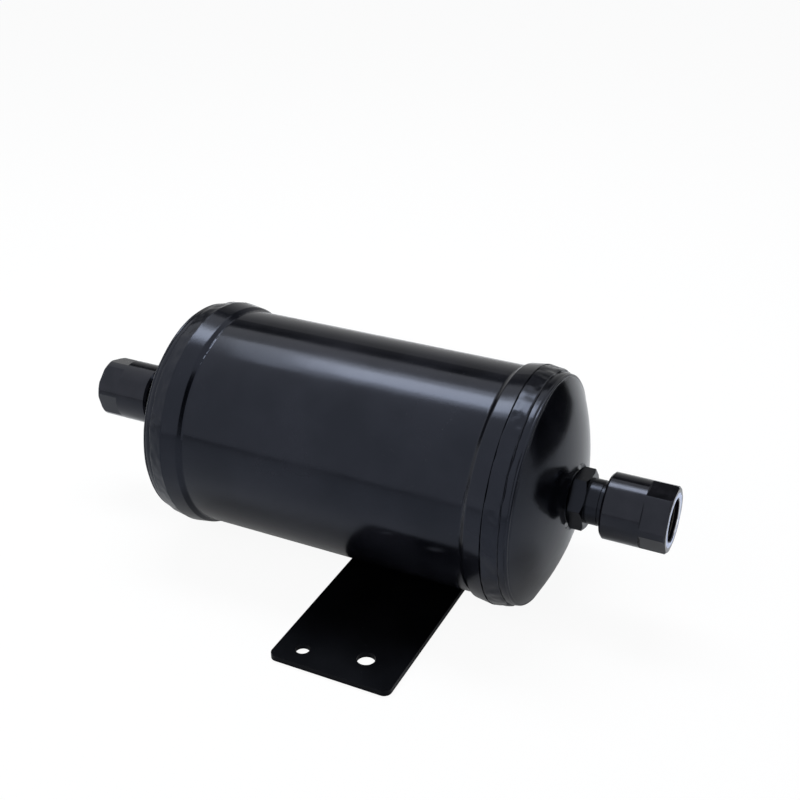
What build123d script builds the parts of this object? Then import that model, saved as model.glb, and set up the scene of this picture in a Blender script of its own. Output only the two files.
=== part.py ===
from build123d import *
from math import asin, cos, degrees, pi, radians, sin, sqrt
import os

# Receiver drier: a belled steel shell with two dished end caps, a swivel-nut
# fitting at each end and a flat mounting plate welded under the shell.
# Millimetres. The origin is on the underside of the mounting plate, straight
# under the vessel axis and at the middle of the plate's width. +X runs along
# the vessel to the outlet, +Z is up, and the plate reaches out towards -Y.

# Shell: a drawn tube whose two ends step out and flare to take the caps
shell_od = 88.9
shell_wall = 1.5
shell_length = 134.0
bell_length = 8.2
bell_ramp = 1.8
bell_rise = 1.4
bell_flare = 0.9
bell_fillet = 1.2

# End caps: dished pressings with a short skirt, a tight knuckle and a sunk seat
cap_wall = 3.0
cap_rim_clearance = 0.3
cap_socket_clearance = 0.1
cap_knuckle = 3.4
cap_crown_radius = 92.0
cap_skirt_exposed = 7.2
cap_seat_radius = 13.0
cap_seat_depth = 1.0
cap_weld_leg = 6.7
cap_weld_inset = 0.2
cap_weld_crown = 0.7

# Mounting plate and its two weld beads
plate_width = 48.8
plate_thickness = 2.2
plate_gap = 0.1
plate_reach = 82.0
plate_tail = 12.0
plate_corner = 3.0
plate_offset = 24.4
small_hole_diameter = 5.5
small_hole_side = 10.0
small_hole_end = 8.1
large_hole_diameter = 7.0
large_hole_side = 15.3
large_hole_end = 13.2
bead_length = 44.0
bead_inner = 5.0
bead_width = 5.0
bead_crown = 0.6
tail_bead_leg = 2.6
tail_bead_rise = 0.4
tail_bead_share = 0.7

# Stub: the fixed half of each fitting, turned from hexagon bar
stub_bore = 10.4
spigot_diameter = 14.0
spigot_length = 4.6
spigot_clearance = 0.1
foot_diameter = 18.8
foot_thickness = 0.8
stub_weld_leg = 0.8
stub_weld_share = 0.65
hex_across_flats = 20.6
hex_length = 6.0
hex_bevel_angle = 30.0
hex_bevel_start = 0.2
neck_diameter = 17.4
neck_length = 18.4
relief_start = 4.6
relief_width = 1.9
relief_depth = 0.6
ring_groove_start = 11.6
nose_bevel = 0.5

# Snap ring that keeps the nut on the stub and lets it swivel
ring_wire = 1.6
ring_gap_angle = 24.0
ring_groove_play = 0.05
ring_seat_clearance = 0.3

# O-ring in the stub's end face
o_ring_section = 1.8
o_ring_diameter = 14.0
o_ring_squeeze = 0.4
o_ring_groove_play = 0.1

# Swivel nut: turned from round bar, with six flats milled on its outer end
nut_diameter = 25.4
nut_length = 24.7
nut_setback = 6.7
nut_flat_length = 9.8
nut_across_flats = 23.3
nut_rear_bevel = 0.9
nut_front_bevel = 0.7
nut_running_clearance = 0.08
nut_bore_bevel = 0.5
thread_bore = 16.4
thread_length = 10.8
thread_mouth_bevel = 0.5
thread_relief_diameter = 18.6
thread_relief_width = 1.3

# Angle of the corners of each hexagon, from +Y towards +Z
stub_hex_angle = 55.0
nut_hex_angles = {"inlet": 45.0, "outlet": 3.0}

# Drying stack inside the shell, from the outlet end back to the spring
stack_clearance = 0.25
support_thickness = 1.5
screen_thickness = 0.6
outlet_pad_thickness = 8.0
core_length = 76.0
core_clearance = 0.6
core_bevel = 2.0
core_pocket_diameter = 22.0
core_pocket_depth = 34.0
inlet_pad_thickness = 6.0
follower_thickness = 1.5
grid_hole_diameter = 6.0
grid_ring_radii = (14.0, 27.0)
grid_ring_counts = (6, 12)
spring_wire = 3.0
spring_diameter = 60.0
spring_turns = 4.5

# Worked out from the sizes above
shell_radius = shell_od / 2
shell_bore_radius = shell_radius - shell_wall
ramp_radius = shell_radius + bell_rise
bell_radius = ramp_radius + bell_flare
half_length = shell_length / 2
bell_start = half_length - bell_length
ramp_end = bell_start + bell_ramp
axis_height = plate_thickness + plate_gap + shell_radius
shell_centre = -plate_offset
vessel_axis = Axis((shell_centre, 0, axis_height), (1, 0, 0))
vessel_plane = Plane(origin=(shell_centre, 0, axis_height), x_dir=(1, 0, 0), z_dir=(0, -1, 0))

cap_radius = bell_radius - shell_wall - cap_rim_clearance
flare_slope = bell_flare / (half_length - ramp_end)
skirt_end = half_length - (cap_rim_clearance - cap_socket_clearance) / flare_slope
knuckle_start = half_length + cap_skirt_exposed
knuckle_centre_radius = cap_radius - cap_knuckle
crown_reach = cap_crown_radius - cap_knuckle
crown_centre = knuckle_start - sqrt(crown_reach**2 - knuckle_centre_radius**2)
crown_half_angle = asin(knuckle_centre_radius / crown_reach)
seat_edge = crown_centre + sqrt(cap_crown_radius**2 - cap_seat_radius**2)

seat_face = seat_edge - cap_seat_depth
foot_face = seat_face + foot_thickness
hex_face = foot_face + hex_length
nose_face = hex_face + neck_length
neck_radius = neck_diameter / 2
ring_radius = neck_radius
ring_groove_width = ring_wire + 2 * ring_groove_play
ring_groove_face = hex_face + ring_groove_start
ring_centre = ring_groove_face + ring_groove_width / 2
o_ring_groove_depth = o_ring_section - o_ring_squeeze
o_ring_centre = nose_face - o_ring_groove_depth + o_ring_section / 2

nut_rear = hex_face + nut_setback
nut_front = nut_rear + nut_length
nut_radius = nut_diameter / 2
nut_bore_radius = neck_radius + nut_running_clearance
thread_radius = thread_bore / 2
thread_start = nut_front - thread_mouth_bevel - thread_length
relief_begin = thread_start - thread_relief_width

stack_radius = shell_bore_radius - stack_clearance
support_face = skirt_end - support_thickness
screen_face = support_face - screen_thickness
outlet_pad_face = screen_face - outlet_pad_thickness
core_face = outlet_pad_face - core_length
inlet_pad_face = core_face - inlet_pad_thickness
follower_face = inlet_pad_face - follower_thickness

os.makedirs("parts", exist_ok=True)


def save(builder, name):
    builder.part.label = name
    export_step(builder.part, f"parts/{name}.step")


def on_crown(radius, crown_radius):
    return crown_centre + sqrt(crown_radius**2 - radius**2)


# Shell, one tube with a bell at each end
with BuildPart() as shell:
    with BuildSketch(vessel_plane):
        with BuildLine():
            Polyline(
                (0, shell_bore_radius),
                (bell_start, shell_bore_radius),
                (ramp_end, ramp_radius - shell_wall),
                (half_length, bell_radius - shell_wall),
                (half_length, bell_radius),
                (ramp_end, ramp_radius),
                (bell_start, shell_radius),
                (0, shell_radius),
                close=True,
            )
        make_face()
        fillet(vertices().filter_by_position(Axis.X, bell_start, ramp_end), bell_fillet)
        mirror(about=Plane.YZ)
    revolve(axis=vessel_axis)
save(shell, "shell")

# Mounting plate, a hair below the shell, its underside level with the two bells
with BuildPart() as mounting_plate:
    with BuildSketch(Plane.XY):
        with Locations((0, -plate_reach)):
            Rectangle(
                plate_width,
                plate_reach + plate_tail,
                align=(Align.CENTER, Align.MIN),
            )
        fillet(vertices().group_by(Axis.Y)[0], plate_corner)
        with Locations((-plate_width / 2 + small_hole_side, -plate_reach + small_hole_end)):
            Circle(small_hole_diameter / 2, mode=Mode.SUBTRACT)
        with Locations((plate_width / 2 - large_hole_side, -plate_reach + large_hole_end)):
            Circle(large_hole_diameter / 2, mode=Mode.SUBTRACT)
    extrude(amount=plate_thickness)
save(mounting_plate, "mounting_plate")

# Weld bead in the crease between the plate and the front of the shell
bead_plane = Plane(origin=(-bead_length / 2, 0, 0), x_dir=(0, 1, 0), z_dir=(1, 0, 0))
bead_outer = bead_inner + bead_width
bead_top = axis_height - sqrt(shell_radius**2 - bead_outer**2)
with BuildPart() as front_plate_weld:
    with BuildSketch(bead_plane):
        with BuildLine():
            Polyline(
                (-bead_outer, bead_top),
                (-bead_inner, bead_top),
                (-bead_inner, plate_thickness),
                (-bead_outer, plate_thickness),
            )
            ThreePointArc(
                (-bead_outer, plate_thickness),
                (-bead_outer - bead_crown, (plate_thickness + bead_top) / 2),
                (-bead_outer, bead_top),
            )
        make_face()
        with Locations((0, axis_height)):
            Circle(shell_radius, mode=Mode.SUBTRACT)
    extrude(amount=bead_length)
save(front_plate_weld, "front_plate_weld")

# Weld bead between the plate's tail edge and the shell
tail_outer = plate_tail + tail_bead_leg
tail_top = axis_height - sqrt(shell_radius**2 - tail_outer**2)
with BuildPart() as rear_plate_weld:
    with BuildSketch(bead_plane):
        with BuildLine():
            Polyline(
                (plate_tail, tail_bead_rise),
                (plate_tail, tail_top),
                (tail_outer, tail_top),
            )
            ThreePointArc(
                (tail_outer, tail_top),
                (plate_tail + tail_bead_leg * tail_bead_share, (tail_bead_rise + tail_top) / 2),
                (plate_tail, tail_bead_rise),
            )
        make_face()
        with Locations((0, axis_height)):
            Circle(shell_radius, mode=Mode.SUBTRACT)
    extrude(amount=bead_length)
save(rear_plate_weld, "rear_plate_weld")

# Both ends: distances run outwards from the middle of the shell
for side, end in ((-1, "inlet"), (1, "outlet")):
    profile_plane = Plane(
        origin=(shell_centre, 0, axis_height), x_dir=(side, 0, 0), z_dir=(0, -side, 0)
    )

    # Dished end cap with its skirt in the bell and a sunk flat seat for the stub
    spigot_hole_radius = spigot_diameter / 2 + spigot_clearance
    crown_inner_radius = cap_crown_radius - cap_wall
    crown_lean = degrees(crown_half_angle)
    with BuildPart() as end_cap:
        with BuildSketch(profile_plane):
            with BuildLine():
                Polyline(
                    (skirt_end, cap_radius),
                    (knuckle_start, cap_radius),
                )
                outer_knuckle = CenterArc(
                    (knuckle_start, knuckle_centre_radius),
                    cap_knuckle,
                    crown_lean,
                    90 - crown_lean,
                )
                RadiusArc(
                    outer_knuckle @ 0,
                    (seat_edge, cap_seat_radius),
                    cap_crown_radius,
                )
                Polyline(
                    (seat_edge, cap_seat_radius),
                    (seat_face, cap_seat_radius - cap_seat_depth),
                    (seat_face, spigot_hole_radius),
                    (on_crown(spigot_hole_radius, crown_inner_radius), spigot_hole_radius),
                )
                inner_knuckle = CenterArc(
                    (knuckle_start, knuckle_centre_radius),
                    cap_knuckle - cap_wall,
                    crown_lean,
                    90 - crown_lean,
                )
                RadiusArc(
                    inner_knuckle @ 0,
                    (on_crown(spigot_hole_radius, crown_inner_radius), spigot_hole_radius),
                    crown_inner_radius,
                )
                Polyline(
                    inner_knuckle @ 1,
                    (skirt_end, cap_radius - cap_wall),
                    (skirt_end, cap_radius),
                )
            make_face()
        revolve(axis=vessel_axis)
    save(end_cap, f"{end}_end_cap")

    # Wide fillet weld from the rim of the bell down to the skirt
    weld_toe = half_length + cap_weld_leg
    weld_top = bell_radius - cap_weld_inset
    with BuildPart() as cap_weld:
        with BuildSketch(profile_plane):
            with BuildLine():
                Polyline(
                    (weld_toe, cap_radius),
                    (half_length, cap_radius),
                    (half_length, weld_top),
                )
                ThreePointArc(
                    (half_length, weld_top),
                    (half_length + cap_weld_leg / 2, (cap_radius + weld_top) / 2 + cap_weld_crown),
                    (weld_toe, cap_radius),
                )
            make_face()
        revolve(axis=vessel_axis)
    save(cap_weld, f"{end}_cap_weld")

    # Stub: spigot, foot, hexagon, neck with its grooves, and the flow bore
    bore_radius = stub_bore / 2
    foot_radius = foot_diameter / 2
    hex_radius = hex_across_flats / 2 / cos(pi / 6)
    hex_plane = Plane(
        origin=(shell_centre + side * foot_face, 0, axis_height),
        x_dir=(0, 1, 0),
        z_dir=(side, 0, 0),
    )
    bevel_rise = hex_radius - (hex_across_flats / 2 + hex_bevel_start)
    bevel_run = bevel_rise * sin(radians(hex_bevel_angle)) / cos(radians(hex_bevel_angle))
    with BuildPart() as stub:
        with BuildSketch(hex_plane):
            RegularPolygon(
                hex_across_flats / 2,
                6,
                major_radius=False,
                rotation=side * stub_hex_angle,
            )
        extrude(amount=hex_length)
        with BuildSketch(profile_plane):
            with BuildLine():
                Polyline(
                    (foot_face, 0),
                    (foot_face, hex_radius - bevel_rise),
                    (foot_face + bevel_run, hex_radius),
                    (hex_face - bevel_run, hex_radius),
                    (hex_face, hex_radius - bevel_rise),
                    (hex_face, 0),
                    close=True,
                )
            make_face()
        revolve(axis=vessel_axis, mode=Mode.INTERSECT)
        with BuildSketch(profile_plane):
            with BuildLine():
                Polyline(
                    (seat_face - spigot_length, 0),
                    (seat_face - spigot_length, spigot_diameter / 2),
                    (seat_face, spigot_diameter / 2),
                    (seat_face, foot_radius),
                    (foot_face, foot_radius),
                    (foot_face, neck_radius),
                    (hex_face + relief_start, neck_radius),
                    (hex_face + relief_start, neck_radius - relief_depth),
                    (hex_face + relief_start + relief_width, neck_radius - relief_depth),
                    (hex_face + relief_start + relief_width, neck_radius),
                    (ring_groove_face, neck_radius),
                    (ring_groove_face, neck_radius - ring_wire),
                    (ring_groove_face + ring_groove_width, neck_radius - ring_wire),
                    (ring_groove_face + ring_groove_width, neck_radius),
                    (nose_face - nose_bevel, neck_radius),
                    (nose_face, neck_radius - nose_bevel),
                    (nose_face, 0),
                    close=True,
                )
            make_face()
        revolve(axis=vessel_axis)
        o_ring_groove_inner = (o_ring_diameter - o_ring_section) / 2 - o_ring_groove_play
        o_ring_groove_outer = (o_ring_diameter + o_ring_section) / 2 + o_ring_groove_play
        with BuildSketch(profile_plane):
            with Locations((nose_face, o_ring_groove_inner)):
                Rectangle(
                    o_ring_groove_depth,
                    o_ring_groove_outer - o_ring_groove_inner,
                    align=(Align.MAX, Align.MIN),
                )
            with Locations((seat_face - spigot_length, 0)):
                Rectangle(
                    nose_face - seat_face + spigot_length,
                    bore_radius,
                    align=(Align.MIN, Align.MIN),
                )
        revolve(axis=vessel_axis, mode=Mode.SUBTRACT)
    save(stub, f"{end}_stub")

    # Small fillet weld round the foot of the stub
    with BuildPart() as stub_weld:
        with BuildSketch(profile_plane):
            with BuildLine():
                Polyline(
                    (seat_face, foot_radius + stub_weld_leg),
                    (seat_face, foot_radius),
                    (foot_face, foot_radius),
                )
                ThreePointArc(
                    (foot_face, foot_radius),
                    (
                        seat_face + foot_thickness * stub_weld_share,
                        foot_radius + stub_weld_leg * stub_weld_share,
                    ),
                    (seat_face, foot_radius + stub_weld_leg),
                )
            make_face()
        revolve(axis=vessel_axis)
    save(stub_weld, f"{end}_stub_weld")

    # Open snap ring, half in the stub's groove and half in the nut's
    with BuildPart() as snap_ring:
        with BuildSketch(profile_plane):
            with Locations((ring_centre, ring_radius)):
                Circle(ring_wire / 2)
        revolve(axis=vessel_axis, revolution_arc=360 - ring_gap_angle)
    save(snap_ring, f"{end}_snap_ring")

    # O-ring in the face groove
    with BuildPart() as o_ring:
        with BuildSketch(profile_plane):
            with Locations((o_ring_centre, o_ring_diameter / 2)):
                Circle(o_ring_section / 2)
        revolve(axis=vessel_axis)
    save(o_ring, f"{end}_o_ring")

    # Swivel nut: round body, snap ring groove, thread bore, six milled flats
    ring_seat_radius = ring_radius + ring_wire / 2 + ring_seat_clearance
    ring_seat_half = ring_wire / 2 + ring_seat_clearance
    flat_plane = Plane(
        origin=(shell_centre + side * (nut_front - nut_flat_length), 0, axis_height),
        x_dir=(0, 1, 0),
        z_dir=(side, 0, 0),
    )
    with BuildPart() as nut:
        with BuildSketch(profile_plane):
            with BuildLine():
                Polyline(
                    (nut_rear, nut_bore_radius + nut_bore_bevel),
                    (nut_rear, nut_radius - nut_rear_bevel),
                    (nut_rear + nut_rear_bevel, nut_radius),
                    (nut_front - nut_front_bevel, nut_radius),
                    (nut_front, nut_radius - nut_front_bevel),
                    (nut_front, thread_radius + thread_mouth_bevel),
                    (nut_front - thread_mouth_bevel, thread_radius),
                    (thread_start, thread_radius),
                    (thread_start, thread_relief_diameter / 2),
                    (relief_begin, thread_relief_diameter / 2),
                    (relief_begin, nut_bore_radius),
                    (ring_centre + ring_seat_half, nut_bore_radius),
                    (ring_centre + ring_seat_half, ring_seat_radius),
                    (ring_centre - ring_seat_half, ring_seat_radius),
                    (ring_centre - ring_seat_half, nut_bore_radius),
                    (nut_rear + nut_bore_bevel, nut_bore_radius),
                    close=True,
                )
            make_face()
        revolve(axis=vessel_axis)
        with BuildSketch(flat_plane):
            Circle(nut_radius + nut_rear_bevel)
            RegularPolygon(
                nut_across_flats / 2,
                6,
                major_radius=False,
                rotation=side * nut_hex_angles[end],
                mode=Mode.SUBTRACT,
            )
        extrude(amount=nut_flat_length, mode=Mode.SUBTRACT)
    save(nut, f"{end}_nut")

# Drying stack: distances run from the middle of the shell towards the outlet
stack_plane = Plane(origin=(shell_centre, 0, axis_height), x_dir=(0, 1, 0), z_dir=(1, 0, 0))

# Two punched grids: the outlet support and the spring follower
grids = (
    ("outlet_support_grid", support_face, support_thickness),
    ("spring_follower_grid", follower_face, follower_thickness),
)
for grid_name, grid_face, grid_thickness in grids:
    with BuildPart() as grid:
        with BuildSketch(stack_plane.offset(grid_face)):
            Circle(stack_radius)
            Circle(grid_hole_diameter / 2, mode=Mode.SUBTRACT)
            for ring, count in zip(grid_ring_radii, grid_ring_counts):
                with PolarLocations(ring, count):
                    Circle(grid_hole_diameter / 2, mode=Mode.SUBTRACT)
        extrude(amount=grid_thickness)
    save(grid, grid_name)

# Plain discs: the strainer screen and the two felt pads
discs = (
    ("outlet_screen", screen_face, screen_thickness),
    ("outlet_felt_pad", outlet_pad_face, outlet_pad_thickness),
    ("inlet_felt_pad", inlet_pad_face, inlet_pad_thickness),
)
for disc_name, disc_face, disc_thickness in discs:
    with BuildPart() as disc:
        with BuildSketch(stack_plane.offset(disc_face)):
            Circle(stack_radius)
        extrude(amount=disc_thickness)
    save(disc, disc_name)

# Moulded desiccant core with a pocket on its inlet side
with BuildPart() as desiccant_core:
    with BuildSketch(stack_plane.offset(core_face)):
        Circle(shell_bore_radius - core_clearance)
    extrude(amount=core_length)
    chamfer(edges().filter_by(GeomType.CIRCLE), core_bevel)
    with BuildSketch(stack_plane.offset(core_face)):
        Circle(core_pocket_diameter / 2)
    extrude(amount=core_pocket_depth, mode=Mode.SUBTRACT)
save(desiccant_core, "desiccant_core")

# Compression spring between the inlet cap and the follower, ends ground flat
spring_outer = (spring_diameter + spring_wire) / 2
spring_seat = -on_crown(spring_outer, cap_crown_radius - cap_wall)
spring_length = follower_face - spring_seat
spring_pitch = spring_length / spring_turns
with BuildPart() as pressure_spring:
    with BuildLine() as coil:
        Helix(
            spring_pitch,
            spring_length,
            spring_diameter / 2,
            center=(shell_centre + spring_seat, 0, axis_height),
            direction=(1, 0, 0),
        )
    with BuildSketch(Plane(origin=coil.line @ 0, z_dir=coil.line % 0)):
        Circle(spring_wire / 2)
    sweep(is_frenet=True)
    with BuildSketch(stack_plane.offset(spring_seat)):
        Circle(spring_outer + spring_wire)
    extrude(amount=spring_length, mode=Mode.INTERSECT)
save(pressure_spring, "pressure_spring")
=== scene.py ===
import math

import bpy
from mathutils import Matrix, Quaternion, Vector


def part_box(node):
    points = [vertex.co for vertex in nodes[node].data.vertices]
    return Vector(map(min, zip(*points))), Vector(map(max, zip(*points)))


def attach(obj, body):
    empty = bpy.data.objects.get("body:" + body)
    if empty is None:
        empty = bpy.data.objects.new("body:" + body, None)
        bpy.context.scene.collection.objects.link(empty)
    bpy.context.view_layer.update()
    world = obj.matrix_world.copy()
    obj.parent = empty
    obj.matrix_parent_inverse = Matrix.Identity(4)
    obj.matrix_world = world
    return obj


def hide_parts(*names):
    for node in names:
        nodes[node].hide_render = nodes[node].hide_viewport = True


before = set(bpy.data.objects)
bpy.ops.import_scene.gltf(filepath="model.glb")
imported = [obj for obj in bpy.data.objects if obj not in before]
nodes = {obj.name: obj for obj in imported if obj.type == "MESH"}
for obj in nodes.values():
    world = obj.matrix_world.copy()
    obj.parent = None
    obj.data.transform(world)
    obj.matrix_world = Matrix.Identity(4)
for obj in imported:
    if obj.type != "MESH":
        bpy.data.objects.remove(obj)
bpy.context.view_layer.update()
scene = bpy.context.scene
print("packed drier loaded,", len(nodes), "nodes")

shellLow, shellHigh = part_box("shell")
shellMiddle = (shellLow.x + shellHigh.x) / 2  # half way along the shell
shellAxisHeight = (shellLow.z + shellHigh.z) / 2

black = (0, 0, 0)
white = (1, 1, 1)
noiseSpan = (0.3, 0.7)  # most of what a noise gives lies between these
mergeDistance = 0.000005

# where the picture was taken from
cameraSetup = {
    "place": (0.17047, -0.37786, 0.29340),
    "aim": (-0.00424, -0.01240, 0.07831),
    "lens": 55.14,
    "sensor": 36,
    "nearest": 0.01,
}
cameraPlace = Vector(cameraSetup["place"])
lookLine = Vector(cameraSetup["aim"]) - cameraPlace
bpy.ops.object.select_all(action="DESELECT")
bpy.ops.object.camera_add(location=cameraPlace, rotation=lookLine.to_track_quat("-Z", "Y").to_euler())
camera = bpy.context.object
camera.name = "pictureCamera"
camera.data.lens = cameraSetup["lens"]
camera.data.sensor_width = cameraSetup["sensor"]
camera.data.clip_start = cameraSetup["nearest"]
scene.camera = camera
scene.view_settings.view_transform = "Standard"
print("camera set")


def clearTree(owner):
    owner.use_nodes = True
    owner.node_tree.nodes.clear()
    return owner.node_tree


def addNode(tree, kind, values=None, **settings):
    node = tree.nodes.new(kind)
    for name, value in settings.items():
        setattr(node, name, value)
    for name, value in (values or {}).items():
        node.inputs[name].default_value = value
    return node


# terms are plain numbers or sockets
def addMath(tree, operation, *terms):
    step = addNode(tree, "ShaderNodeMath", operation=operation)
    for socket, term in zip(step.inputs, terms):
        if isinstance(term, (int, float)):
            socket.default_value = term
        else:
            tree.links.new(term, socket)
    return step.outputs[0]


def addNoise(tree, coords, scale, detail=2, stretch=None):
    if stretch:
        mapping = addNode(tree, "ShaderNodeMapping", {"Scale": stretch})
        tree.links.new(coords, mapping.inputs["Vector"])
        coords = mapping.outputs["Vector"]
    noise = addNode(tree, "ShaderNodeTexNoise", {"Scale": scale, "Detail": detail})
    tree.links.new(coords, noise.inputs["Vector"])
    return noise.outputs["Fac"]


def addRamp(tree, source, stops, smooth="EASE"):
    ramp = addNode(tree, "ShaderNodeValToRGB")
    elements = ramp.color_ramp.elements
    ramp.color_ramp.interpolation = smooth
    while len(elements) < len(stops):
        elements.new(0.5)
    for element, (place, colour) in zip(elements, stops):
        element.position = place
        element.color = (*colour, 1)
    tree.links.new(source, ramp.inputs["Fac"])
    return ramp.outputs["Color"]


def addTone(tree, source, dark, light):
    return addRamp(tree, source, list(zip(noiseSpan, (dark, light))))


def addRange(tree, source, low, high, fromSpan=noiseSpan):
    start, end = fromSpan
    span = addNode(tree, "ShaderNodeMapRange", {
        "From Min": start, "From Max": end, "To Min": low, "To Max": high,
    })
    tree.links.new(source, span.inputs["Value"])
    return span.outputs["Result"]


def addBump(tree, height, strength, distance, under=None):
    bump = addNode(tree, "ShaderNodeBump", {"Strength": strength, "Distance": distance})
    tree.links.new(height, bump.inputs["Height"])
    if under:
        tree.links.new(under, bump.inputs["Normal"])
    return bump.outputs["Normal"]


def mixColours(tree, share, first, second):
    mix = addNode(tree, "ShaderNodeMix", data_type="RGBA")
    tree.links.new(share, mix.inputs["Factor"])
    for socket, colour in (("A", first), ("B", second)):
        target = [s for s in mix.inputs if s.name == socket and s.type == "RGBA"][0]
        if isinstance(colour, tuple):
            target.default_value = (*colour, 1)
        else:
            tree.links.new(colour, target)
    return [s for s in mix.outputs if s.type == "RGBA"][0]


def blendShaders(tree, out, share, first, second):
    blend = addNode(tree, "ShaderNodeMixShader")
    for socket, source in zip(blend.inputs, (share, first, second)):
        tree.links.new(source, socket)
    tree.links.new(blend.outputs[0], out.inputs["Surface"])


def startMaterial(name):
    material = bpy.data.materials.new(name)
    tree = clearTree(material)
    out = addNode(tree, "ShaderNodeOutputMaterial")
    surface = addNode(tree, "ShaderNodeBsdfPrincipled")
    tree.links.new(surface.outputs["BSDF"], out.inputs["Surface"])
    place = addNode(tree, "ShaderNodeTexCoord")
    return material, tree, surface, place.outputs["Object"]


# how strongly a paint mirrors, and the cold cast of what it mirrors
def setGloss(surface, look):
    surface.inputs["IOR"].default_value = look["ior"]
    surface.inputs["Specular Tint"].default_value = (*look["tint"], 1)


# black paint over steel, with a fine orange peel, a slow change of tone and a few specks of dust
def paintedSteel(name, look):
    material, tree, surface, coords = startMaterial(name)
    shade = addNoise(tree, coords, look["toneScale"], detail=3)
    tone = addTone(tree, shade, look["dark"], look["light"])
    dust = addNode(tree, "ShaderNodeTexVoronoi", {"Scale": look["dustScale"], "Randomness": 1})
    tree.links.new(coords, dust.inputs["Vector"])
    specks = addRamp(tree, dust.outputs["Distance"], list(zip(look["dustSpan"], (white, black))))
    cloud = addNoise(tree, coords, look["patchScale"])
    patches = addRamp(tree, cloud, list(zip(look["patchSpan"], (black, white))))
    dusty = addMath(tree, "MULTIPLY", specks, patches)
    tree.links.new(mixColours(tree, dusty, tone, look["dust"]), surface.inputs["Base Color"])
    sheen = addNoise(tree, coords, look["glossScale"], detail=3)
    tree.links.new(addRange(tree, sheen, look["smooth"], look["rough"]), surface.inputs["Roughness"])
    fine = addNoise(tree, coords, look["peelScale"], detail=1)
    peel = addBump(tree, fine, look["peel"], look["peelDepth"])
    slow = addNoise(tree, coords, look["waveScale"], detail=1)
    waves = addBump(tree, slow, look["wave"], look["waveDepth"], under=peel)
    tree.links.new(waves, surface.inputs["Normal"])
    setGloss(surface, look)
    return material


shellLook = {
    "dark": (0.0020, 0.0023, 0.0036),
    "light": (0.0085, 0.0090, 0.0125),
    "toneScale": 38,
    "dust": (0.07, 0.07, 0.08),
    "dustScale": 420,
    "dustSpan": (0.040, 0.064),
    "patchScale": 60,  # dust lies only in patches
    "patchSpan": (0.50, 0.62),
    "glossScale": 45,
    "smooth": 0.12,
    "rough": 0.19,
    "peelScale": 620,
    "peel": 0.04,
    "peelDepth": 0.0002,
    "waveScale": 60,
    "wave": 0.05,
    "waveDepth": 0.001,
    "ior": 1.41,
    "tint": (0.68, 0.76, 1.0),
}
shellPaint = paintedSteel("shellPaint", shellLook)
capPaint = paintedSteel("capPaint", {**shellLook, "peel": 0.05, "wave": 0.06})
platePaint = paintedSteel("platePaint", {
    **shellLook,
    "dark": (0.0008, 0.0008, 0.0010),
    "light": (0.0016, 0.0016, 0.0020),
    "smooth": 0.3,
    "rough": 0.42,
    "ior": 1.18,
})
weldPaint = paintedSteel("weldPaint", {
    **shellLook, "smooth": 0.14, "rough": 0.24, "peel": 0.06, "wave": 0.10,
})
stubPaint = paintedSteel("stubPaint", {
    **shellLook,
    "dark": (0.0012, 0.0012, 0.0016),
    "light": (0.004, 0.004, 0.0048),
    "smooth": 0.16,
    "rough": 0.30,
    "wave": 0.03,
    "ior": 1.36,
})


# dark finish on the nuts, rubbed through to bright steel in a ragged ring round the mouth
def nutFinish(name, look):
    material, tree, surface, coords = startMaterial(name)
    shade = addNoise(tree, coords, look["toneScale"], detail=4)
    tone = addTone(tree, shade, look["dark"], look["light"])
    parts = addNode(tree, "ShaderNodeSeparateXYZ")
    tree.links.new(coords, parts.inputs["Vector"])
    fromFace = addMath(tree, "SUBTRACT", parts.outputs["X"], look["facePlace"])
    face = addRange(tree, addMath(tree, "ABSOLUTE", fromFace), 1, 0, look["faceSpan"])
    across = addNode(tree, "ShaderNodeCombineXYZ")
    tree.links.new(parts.outputs["Y"], across.inputs["Y"])
    tree.links.new(addMath(tree, "SUBTRACT", parts.outputs["Z"], shellAxisHeight), across.inputs["Z"])
    radius = addNode(tree, "ShaderNodeVectorMath", operation="LENGTH")
    tree.links.new(across.outputs[0], radius.inputs[0])
    wander = addRange(tree, addNoise(tree, coords, look["wanderScale"]), 0, look["wander"])
    ring = addRange(tree, addMath(tree, "ADD", radius.outputs["Value"], wander), 1, 0, look["ringSpan"])
    bare = addMath(tree, "MULTIPLY", face, ring)
    scratches = addNoise(tree, coords, look["steelScale"])
    steel = addTone(tree, scratches, look["steelDark"], look["steelLight"])
    tree.links.new(mixColours(tree, bare, tone, steel), surface.inputs["Base Color"])
    tree.links.new(bare, surface.inputs["Metallic"])
    sheen = addNoise(tree, coords, look["glossScale"], detail=3)
    tree.links.new(addRange(tree, sheen, look["smooth"], look["rough"]), surface.inputs["Roughness"])
    grain = addNoise(tree, coords, look["grainScale"], stretch=look["grainStretch"])
    tree.links.new(addBump(tree, grain, look["grain"], look["grainDepth"]), surface.inputs["Normal"])
    setGloss(surface, look)
    return material


nutLook = {
    "dark": (0.0030, 0.0030, 0.0042),
    "light": (0.0085, 0.0082, 0.0105),
    "toneScale": 180,
    "steelDark": (0.80, 0.81, 0.84),
    "steelLight": (0.97, 0.97, 0.98),
    "steelScale": 900,
    "faceSpan": (0.000168, 0.000392),  # bare steel ends this far from the end face
    "ringSpan": (0.0106, 0.0110),  # and this far from the axis
    "wander": 0.0007,
    "wanderScale": 320,
    "glossScale": 300,
    "smooth": 0.09,
    "rough": 0.17,
    "grainScale": 700,
    "grainStretch": (6, 1, 1),
    "grain": 0.05,
    "grainDepth": 0.0001,
    "ior": 1.43,
    "tint": (0.74, 0.80, 1.0),
}
outletNutFinish = nutFinish("outletNutFinish", {**nutLook, "facePlace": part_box("outlet_nut")[1].x})
inletNutFinish = nutFinish("inletNutFinish", {**nutLook, "facePlace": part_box("inlet_nut")[0].x})


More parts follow.
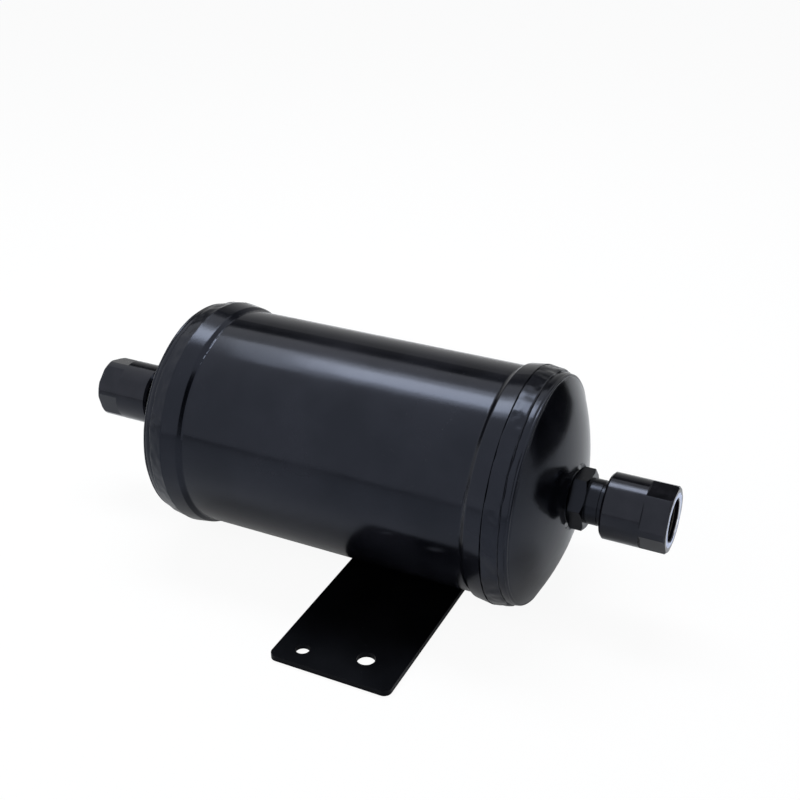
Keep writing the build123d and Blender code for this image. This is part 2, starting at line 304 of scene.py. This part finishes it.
# one grain that gives a finish its tone, gloss and relief
def plainFinish(name, look):
    material, tree, surface, coords = startMaterial(name)
    grain = addNoise(tree, coords, look["scale"], look["detail"])
    tree.links.new(addTone(tree, grain, look["dark"], look["light"]), surface.inputs["Base Color"])
    tree.links.new(addRange(tree, grain, look["smooth"], look["rough"]), surface.inputs["Roughness"])
    tree.links.new(addBump(tree, grain, look["bump"], look["depth"]), surface.inputs["Normal"])
    surface.inputs["Metallic"].default_value = look["metal"]
    return material


ringRubber = plainFinish("ringRubber", {
    "scale": 1500, "detail": 3, "dark": (0.012, 0.012, 0.012), "light": (0.022, 0.022, 0.022),
    "smooth": 0.45, "rough": 0.6, "bump": 0.1, "depth": 0.0001, "metal": 0,
})
springSteel = plainFinish("springSteel", {
    "scale": 500, "detail": 3, "dark": (0.20, 0.19, 0.18), "light": (0.34, 0.33, 0.32),
    "smooth": 0.25, "rough": 0.4, "bump": 0.08, "depth": 0.0001, "metal": 1,
})
punchedSteel = plainFinish("punchedSteel", {
    "scale": 300, "detail": 3, "dark": (0.38, 0.38, 0.38), "light": (0.52, 0.52, 0.51),
    "smooth": 0.28, "rough": 0.42, "bump": 0.08, "depth": 0.0001, "metal": 1,
})
feltWool = plainFinish("feltWool", {
    "scale": 1400, "detail": 6, "dark": (0.42, 0.38, 0.30), "light": (0.66, 0.62, 0.52),
    "smooth": 0.85, "rough": 1, "bump": 0.6, "depth": 0.0005, "metal": 0,
})
desiccantBlock = plainFinish("desiccantBlock", {
    "scale": 1100, "detail": 5, "dark": (0.52, 0.46, 0.36), "light": (0.74, 0.70, 0.60),
    "smooth": 0.8, "rough": 0.95, "bump": 0.5, "depth": 0.0004, "metal": 0,
})
screenMesh = plainFinish("screenMesh", {
    "scale": 900, "detail": 3, "dark": (0.25, 0.25, 0.25), "light": (0.55, 0.55, 0.53),
    "smooth": 0.3, "rough": 0.5, "bump": 0.4, "depth": 0.0002, "metal": 1,
})
# thread steel coloured near black: painted shade of the nut's bore laid over bare steel
shadedThreadSteel = plainFinish("shadedThreadSteel", {
    "scale": 900, "detail": 3, "dark": (0.018, 0.017, 0.016), "light": (0.06, 0.056, 0.05),
    "smooth": 0.25, "rough": 0.42, "bump": 0.15, "depth": 0.0001, "metal": 0.8,
})

finishOf = {
    "shell": shellPaint,
    "inlet_end_cap": capPaint,
    "outlet_end_cap": capPaint,
    "mounting_plate": platePaint,
    "inlet_cap_weld": weldPaint,
    "outlet_cap_weld": weldPaint,
    "front_plate_weld": weldPaint,
    "rear_plate_weld": weldPaint,
    "inlet_stub_weld": stubPaint,
    "outlet_stub_weld": stubPaint,
    "inlet_stub": stubPaint,
    "outlet_stub": stubPaint,
    "inlet_nut": inletNutFinish,
    "outlet_nut": outletNutFinish,
    "inlet_snap_ring": springSteel,
    "outlet_snap_ring": springSteel,
    "pressure_spring": springSteel,
    "inlet_o_ring": ringRubber,
    "outlet_o_ring": ringRubber,
    "spring_follower_grid": punchedSteel,
    "outlet_support_grid": punchedSteel,
    "outlet_screen": screenMesh,
    "inlet_felt_pad": feltWool,
    "outlet_felt_pad": feltWool,
    "desiccant_core": desiccantBlock,
}
for node, finish in finishOf.items():
    nodes[node].data.materials.clear()
    nodes[node].data.materials.append(finish)
print("finishes given to", len(finishOf), "nodes")


# every new piece ends here: place applied, smoothed, named, painted and tied to its body
def finishPiece(piece, name, body, finish, angle, replaced=()):
    bpy.ops.object.transform_apply(location=True, rotation=True, scale=True)
    bpy.ops.object.shade_smooth_by_angle(angle=math.radians(angle))
    piece.name = name
    piece.data.materials.clear()
    piece.data.materials.append(finish)
    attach(piece, body)
    if replaced:
        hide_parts(*replaced)


def mergeAndTurnOut():
    bpy.ops.mesh.select_all(action="SELECT")
    bpy.ops.mesh.remove_doubles(threshold=mergeDistance)
    bpy.ops.mesh.normals_make_consistent(inside=False)


# lumps are pairs of size and height, and stand out as far as they sink in
def roughen(piece, name, lumps):
    for size, height in lumps:
        clouds = bpy.data.textures.new(f"{name}Lumps", "CLOUDS")
        clouds.noise_scale = size
        bpy.ops.object.modifier_add(type="DISPLACE")
        push = piece.modifiers[-1]
        push.texture = clouds
        push.texture_coords = "LOCAL"
        push.mid_level = 0.5
        push.strength = height
        bpy.ops.object.modifier_apply(modifier=push.name)


# uneven bead laid round the rim of each bell, spun from a rounded bar section, and beside it
# the low lip that the rolled edge of the cap makes
capWeldSetup = {
    "halfWidth": 0.00328,
    "halfHeight": 0.00085,
    "corner": 0.00070,
    "cornerSteps": 5,
    "tilt": 9.0,
    "middleRadius": 0.04527,
    "outward": -0.00030,  # moved a little back over the rim
    "cuts": 9,
    "steps": 240,
    "lumps": ((0.0070, 0.00085), (0.0026, 0.00036)),
    "lipAway": 0.07603,  # from the middle of the shell
    "lipRadius": 0.04390,
    "lipHalf": 0.00078,
    "lipSteps": 14,
    "lipLumps": ((0.012, 0.00030),),
    "smoothAngle": 60,
}


def rollCapLip(end, side, axisHeight, look):
    bpy.ops.object.select_all(action="DESELECT")
    bpy.ops.mesh.primitive_torus_add(
        major_segments=look["steps"],
        minor_segments=look["lipSteps"],
        major_radius=look["lipRadius"],
        minor_radius=look["lipHalf"],
        location=(shellMiddle + side * look["lipAway"], 0, axisHeight),
        rotation=(0, math.radians(90), 0),
    )
    lip = bpy.context.object
    bpy.ops.object.transform_apply(location=True, rotation=True, scale=True)
    roughen(lip, f"{end}CapLip", look["lipLumps"])


def layCapWeld(end, side, look):
    low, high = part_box(f"{end}_cap_weld")
    middle = (low.x + high.x) / 2 + side * look["outward"]
    axisHeight = (low.z + high.z) / 2
    bpy.ops.object.select_all(action="DESELECT")
    bpy.ops.mesh.primitive_plane_add(
        size=2,
        location=(middle, 0, axisHeight + look["middleRadius"]),
        rotation=(math.radians(90), side * math.radians(look["tilt"]), 0),
    )
    bead = bpy.context.object
    bead.scale = (look["halfWidth"], look["halfHeight"], 1)
    bpy.ops.object.transform_apply(location=True, rotation=True, scale=True)
    bpy.ops.object.mode_set(mode="EDIT")
    bpy.ops.mesh.select_all(action="SELECT")
    bpy.ops.mesh.bevel(offset=look["corner"], segments=look["cornerSteps"], affect="VERTICES")
    bpy.ops.mesh.delete(type="ONLY_FACE")
    bpy.ops.mesh.select_all(action="DESELECT")
    bpy.ops.object.mode_set(mode="OBJECT")
    points = bead.data.vertices
    for edge in bead.data.edges:  # the two long edges get cuts, so that the lumps can bend them
        first, second = (points[i] for i in edge.vertices)
        if (first.co - second.co).length > look["halfWidth"]:
            first.select = second.select = True
    bpy.ops.object.mode_set(mode="EDIT")
    bpy.ops.mesh.subdivide(number_cuts=look["cuts"])
    bpy.ops.mesh.select_all(action="SELECT")
    bpy.ops.mesh.spin(
        steps=look["steps"], angle=math.tau, center=(middle, 0, axisHeight), axis=(1, 0, 0),
    )
    mergeAndTurnOut()
    bpy.ops.object.mode_set(mode="OBJECT")
    roughen(bead, f"{end}CapWeld", look["lumps"])
    rollCapLip(end, side, axisHeight, look)
    bead.select_set(True)
    bpy.context.view_layer.objects.active = bead
    bpy.ops.object.join()
    finishPiece(
        bead, f"{end}CapWeldBead", "vessel", weldPaint, look["smoothAngle"],
        replaced=[f"{end}_cap_weld"],
    )


layCapWeld("inlet", -1, capWeldSetup)
layCapWeld("outlet", 1, capWeldSetup)
print("cap welds laid")


# plate welds: overlapping drops of metal in the two creases between plate and shell
plateWeldSetup = {
    "front": {"place": (-0.0092, 0.00285), "size": (0.0019, 0.0018, 0.00105), "lean": -14},
    "rear": {"place": (0.0128, 0.0029), "size": (0.0019, 0.0021, 0.00125), "lean": -48},
    "segments": 24,
    "rings": 14,
    "spacing": 0.0017,
    "voxel": 0.00024,
    "lumps": ((0.006, 0.00035), (0.002, 0.00015)),
    "smoothAngle": 80,
}


def layPlateWeld(where, look):
    line = look[where]
    low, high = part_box(f"{where}_plate_weld")
    drops = int((high.x - low.x - 2 * line["size"][0]) / look["spacing"]) + 1
    start = (low.x + high.x) / 2 - (drops - 1) * look["spacing"] / 2
    bpy.ops.object.select_all(action="DESELECT")
    bpy.ops.mesh.primitive_uv_sphere_add(
        segments=look["segments"],
        ring_count=look["rings"],
        radius=1,
        location=(start, *line["place"]),
        rotation=(math.radians(line["lean"]), 0, 0),
    )
    bead = bpy.context.object
    bead.scale = line["size"]
    bpy.ops.object.transform_apply(location=True, rotation=True, scale=True)
    bpy.ops.object.modifier_add(type="ARRAY")
    row = bead.modifiers[-1]
    row.count = drops
    row.use_relative_offset = False
    row.use_constant_offset = True
    row.constant_offset_displace = (look["spacing"], 0, 0)
    bpy.ops.object.modifier_apply(modifier=row.name)
    bpy.ops.object.modifier_add(type="REMESH")
    melt = bead.modifiers[-1]
    melt.mode = "VOXEL"
    melt.voxel_size = look["voxel"]
    bpy.ops.object.modifier_apply(modifier=melt.name)
    roughen(bead, f"{where}PlateWeld", look["lumps"])
    finishPiece(
        bead, f"{where}PlateWeldBead", "vessel", weldPaint, look["smoothAngle"],
        replaced=[f"{where}_plate_weld"],
    )


layPlateWeld("front", plateWeldSetup)
layPlateWeld("rear", plateWeldSetup)
print("plate welds laid")


# thread in the mouth of each nut: a ridge with sloping flanks, screwed along the bore
threadSetup = {
    "boreRadius": 0.0082,
    "pitch": 0.0015,
    "turns": 6,
    "fromFront": 0.0011,
    "ridge": 0.00032,  # into the bore
    "root": 0.00015,  # into the nut's wall
    "halfFoot": 0.00062,
    "halfCrest": 0.00012,
    "steps": 64,
    "smoothAngle": 40,
}


def cutThread(end, side, look):
    low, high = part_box(f"{end}_nut")
    front = high.x if side > 0 else low.x
    start = (front - side * look["fromFront"], 0, shellAxisHeight)
    middle = look["boreRadius"] + (look["root"] - look["ridge"]) / 2
    halfHeight = (look["root"] + look["ridge"]) / 2
    bpy.ops.object.select_all(action="DESELECT")
    bpy.ops.mesh.primitive_plane_add(size=2, location=start, rotation=(math.radians(90), 0, 0))
    ridge = bpy.context.object
    bpy.ops.object.transform_apply(location=False, rotation=True, scale=True)
    bpy.ops.object.mode_set(mode="EDIT")
    bpy.ops.mesh.select_all(action="SELECT")
    bpy.ops.transform.resize(value=(look["halfFoot"], 1, halfHeight), center_override=start)
    bpy.ops.transform.translate(value=(0, 0, middle))
    bpy.ops.mesh.select_all(action="DESELECT")
    bpy.ops.object.mode_set(mode="OBJECT")
    for point in ridge.data.vertices:  # the crest is narrower than the foot
        point.select = point.co.z < middle
    bpy.ops.object.mode_set(mode="EDIT")
    bpy.ops.transform.resize(value=(look["halfCrest"] / look["halfFoot"], 1, 1), center_override=start)
    bpy.ops.object.mode_set(mode="OBJECT")
    bpy.ops.object.modifier_add(type="SCREW")
    wind = ridge.modifiers[-1]
    wind.axis = "X"
    wind.angle = math.tau
    wind.screw_offset = -side * look["pitch"]
    wind.iterations = look["turns"]
    wind.steps = look["steps"]
    wind.render_steps = look["steps"]
    bpy.ops.object.modifier_apply(modifier=wind.name)
    bpy.ops.object.mode_set(mode="EDIT")
    bpy.ops.mesh.select_all(action="SELECT")
    bpy.ops.mesh.fill_holes(sides=4)  # both ends of the ridge
    mergeAndTurnOut()
    bpy.ops.object.mode_set(mode="OBJECT")
    finishPiece(
        ridge, f"{end}NutThread", f"{end}_swivel", shadedThreadSteel, look["smoothAngle"],
    )


cutThread("inlet", -1, threadSetup)
cutThread("outlet", 1, threadSetup)
print("threads cut")


# pale floor that keeps the shadow, shows near white to the camera and a little light to gloss
floorSetup = {
    "size": 6,
    "height": -0.0002,
    "paper": (0.9, 0.9, 0.9),
    "glow": 1.03,
    "glowShare": 0.9,
    "glossShare": 0.12,
}
bpy.ops.object.select_all(action="DESELECT")
bpy.ops.mesh.primitive_plane_add(size=floorSetup["size"], location=(0, 0, floorSetup["height"]))
floor = bpy.context.object
floor.name = "studioFloor"
floorPaper = bpy.data.materials.new("floorPaper")
tree = clearTree(floorPaper)
out = addNode(tree, "ShaderNodeOutputMaterial")
paper = addNode(tree, "ShaderNodeBsdfDiffuse", {"Color": (*floorSetup["paper"], 1)})
glow = addNode(tree, "ShaderNodeEmission", {"Color": (*white, 1), "Strength": floorSetup["glow"]})
ray = addNode(tree, "ShaderNodeLightPath")
straight = addMath(tree, "MAXIMUM", ray.outputs["Is Camera Ray"], ray.outputs["Is Transmission Ray"])
straightShare = addMath(tree, "MULTIPLY", straight, floorSetup["glowShare"])
glossShare = addMath(tree, "MULTIPLY", ray.outputs["Is Glossy Ray"], floorSetup["glossShare"])
share = addMath(tree, "MAXIMUM", straightShare, glossShare)
blendShaders(tree, out, share, paper.outputs[0], glow.outputs[0])
floor.data.materials.append(floorPaper)

# plain room: soft even light, and white where the camera or a reflection looks past the floor
roomSetup = {"light": (0.93, 0.96, 1.0), "strength": 0.35, "seen": 1}
room = bpy.data.worlds.new("paleRoom")
scene.world = room
tree = clearTree(room)
out = addNode(tree, "ShaderNodeOutputWorld")
soft = addNode(tree, "ShaderNodeBackground", {
    "Color": (*roomSetup["light"], 1), "Strength": roomSetup["strength"],
})
bright = addNode(tree, "ShaderNodeBackground", {"Color": (*white, 1), "Strength": roomSetup["seen"]})
ray = addNode(tree, "ShaderNodeLightPath")
seen = addMath(tree, "MAXIMUM", ray.outputs["Is Camera Ray"], ray.outputs["Is Glossy Ray"])
share = addMath(tree, "MAXIMUM", seen, ray.outputs["Is Transmission Ray"])
blendShaders(tree, out, share, soft.outputs[0], bright.outputs[0])
print("floor and room made")

# a soft box above and a little behind with a wider, weaker one round it, and a fill from the front left
lampSetup = {
    "topBox": {
        "place": (-0.13, 0.180, 0.75), "aim": (-0.02, 0, 0.06), "turn": -28, "size": (0.50, 0.17),
        "watts": 1.6, "colour": (0.92, 0.96, 1.0), "inGloss": True,
    },
    "topGlow": {
        "place": (-0.16, 0.195, 0.76), "aim": (-0.02, 0, 0.06), "turn": -28, "size": (0.62, 0.30),
        "watts": 1.55, "colour": (0.92, 0.96, 1.0), "inGloss": True,
    },
    "frontFill": {
        "place": (-0.3, -0.7, 0.7), "aim": (0, 0, 0.05), "turn": 0, "size": (0.6, 0.6),
        "watts": 2.0, "colour": (1, 0.98, 0.95), "inGloss": False,
    },
}


def hangLamp(name, look):
    bpy.ops.object.light_add(type="AREA", location=look["place"])
    lamp = bpy.context.object
    lamp.name = name
    towards = (Vector(look["aim"]) - Vector(look["place"])).to_track_quat("-Z", "Y")
    turn = Quaternion((0, 0, 1), math.radians(look["turn"]))
    lamp.rotation_euler = (towards @ turn).to_euler()
    lamp.data.shape = "RECTANGLE"
    lamp.data.size, lamp.data.size_y = look["size"]
    lamp.data.energy = look["watts"]
    lamp.data.color = look["colour"]
    lamp.visible_glossy = look["inGloss"]


for name, look in lampSetup.items():
    hangLamp(name, look)

# cards round the drier, seen only in its gloss: they make its soft grey bands and its black ones
cardSetup = {
    "fadingCard": {
        "middle": (-0.33, 0.45, 0.27), "size": (0.96, 0.54), "turn": 0,
        "greys": [(0, 0.55), (0.5, 0.26), (0.78, 0.04), (1, 0)],
    },
    "blackCard": {
        "middle": (0.306, 0.244, 0.09), "size": (0.31, 0.18), "turn": -40,
        "greys": [(0, 0), (1, 0.004)],
    },
    "leftCard": {
        "middle": (-0.72, 0.30, 0.24), "size": (0.62, 0.50), "turn": 45,
        "greys": [(0, 0.10), (0.4, 0.02), (1, 0)],
    },
    "frontCard": {
        "middle": (0.50, -0.36, 0.37), "size": (0.50, 0.74), "turn": 58,
        "greys": [(0, 0.03), (1, 0)],
    },
    "sideCard": {
        "middle": (0.47, 0.12, 0.15), "size": (0.26, 0.30), "turn": -75,
        "greys": [(0, 0.5), (1, 0.7)],
    },
}


# greys run from the card's foot to its top
def standCard(name, look):
    bpy.ops.object.select_all(action="DESELECT")
    bpy.ops.mesh.primitive_plane_add(
        size=1,
        location=look["middle"],
        rotation=(math.radians(90), 0, math.radians(look["turn"])),
    )
    card = bpy.context.object
    card.name = name
    card.scale = (*look["size"], 1)
    bpy.ops.object.transform_apply(location=True, rotation=True, scale=True)
    card.visible_camera = False
    card.visible_diffuse = False
    card.visible_transmission = False
    card.visible_shadow = False
    cardPaper = bpy.data.materials.new(f"{name}Paper")
    tree = clearTree(cardPaper)
    out = addNode(tree, "ShaderNodeOutputMaterial")
    glow = addNode(tree, "ShaderNodeEmission", {"Strength": 1})
    place = addNode(tree, "ShaderNodeTexCoord")
    parts = addNode(tree, "ShaderNodeSeparateXYZ")
    tree.links.new(place.outputs["Object"], parts.inputs["Vector"])
    foot = look["middle"][2] - look["size"][1] / 2
    height = addRange(tree, parts.outputs["Z"], 0, 1, (foot, foot + look["size"][1]))
    stops = [(at, (grey, grey, grey)) for at, grey in look["greys"]]
    tree.links.new(addRamp(tree, height, stops, "LINEAR"), glow.inputs["Color"])
    tree.links.new(glow.outputs[0], out.inputs["Surface"])
    card.data.materials.append(cardPaper)


for name, look in cardSetup.items():
    standCard(name, look)
print("lamps and cards set")
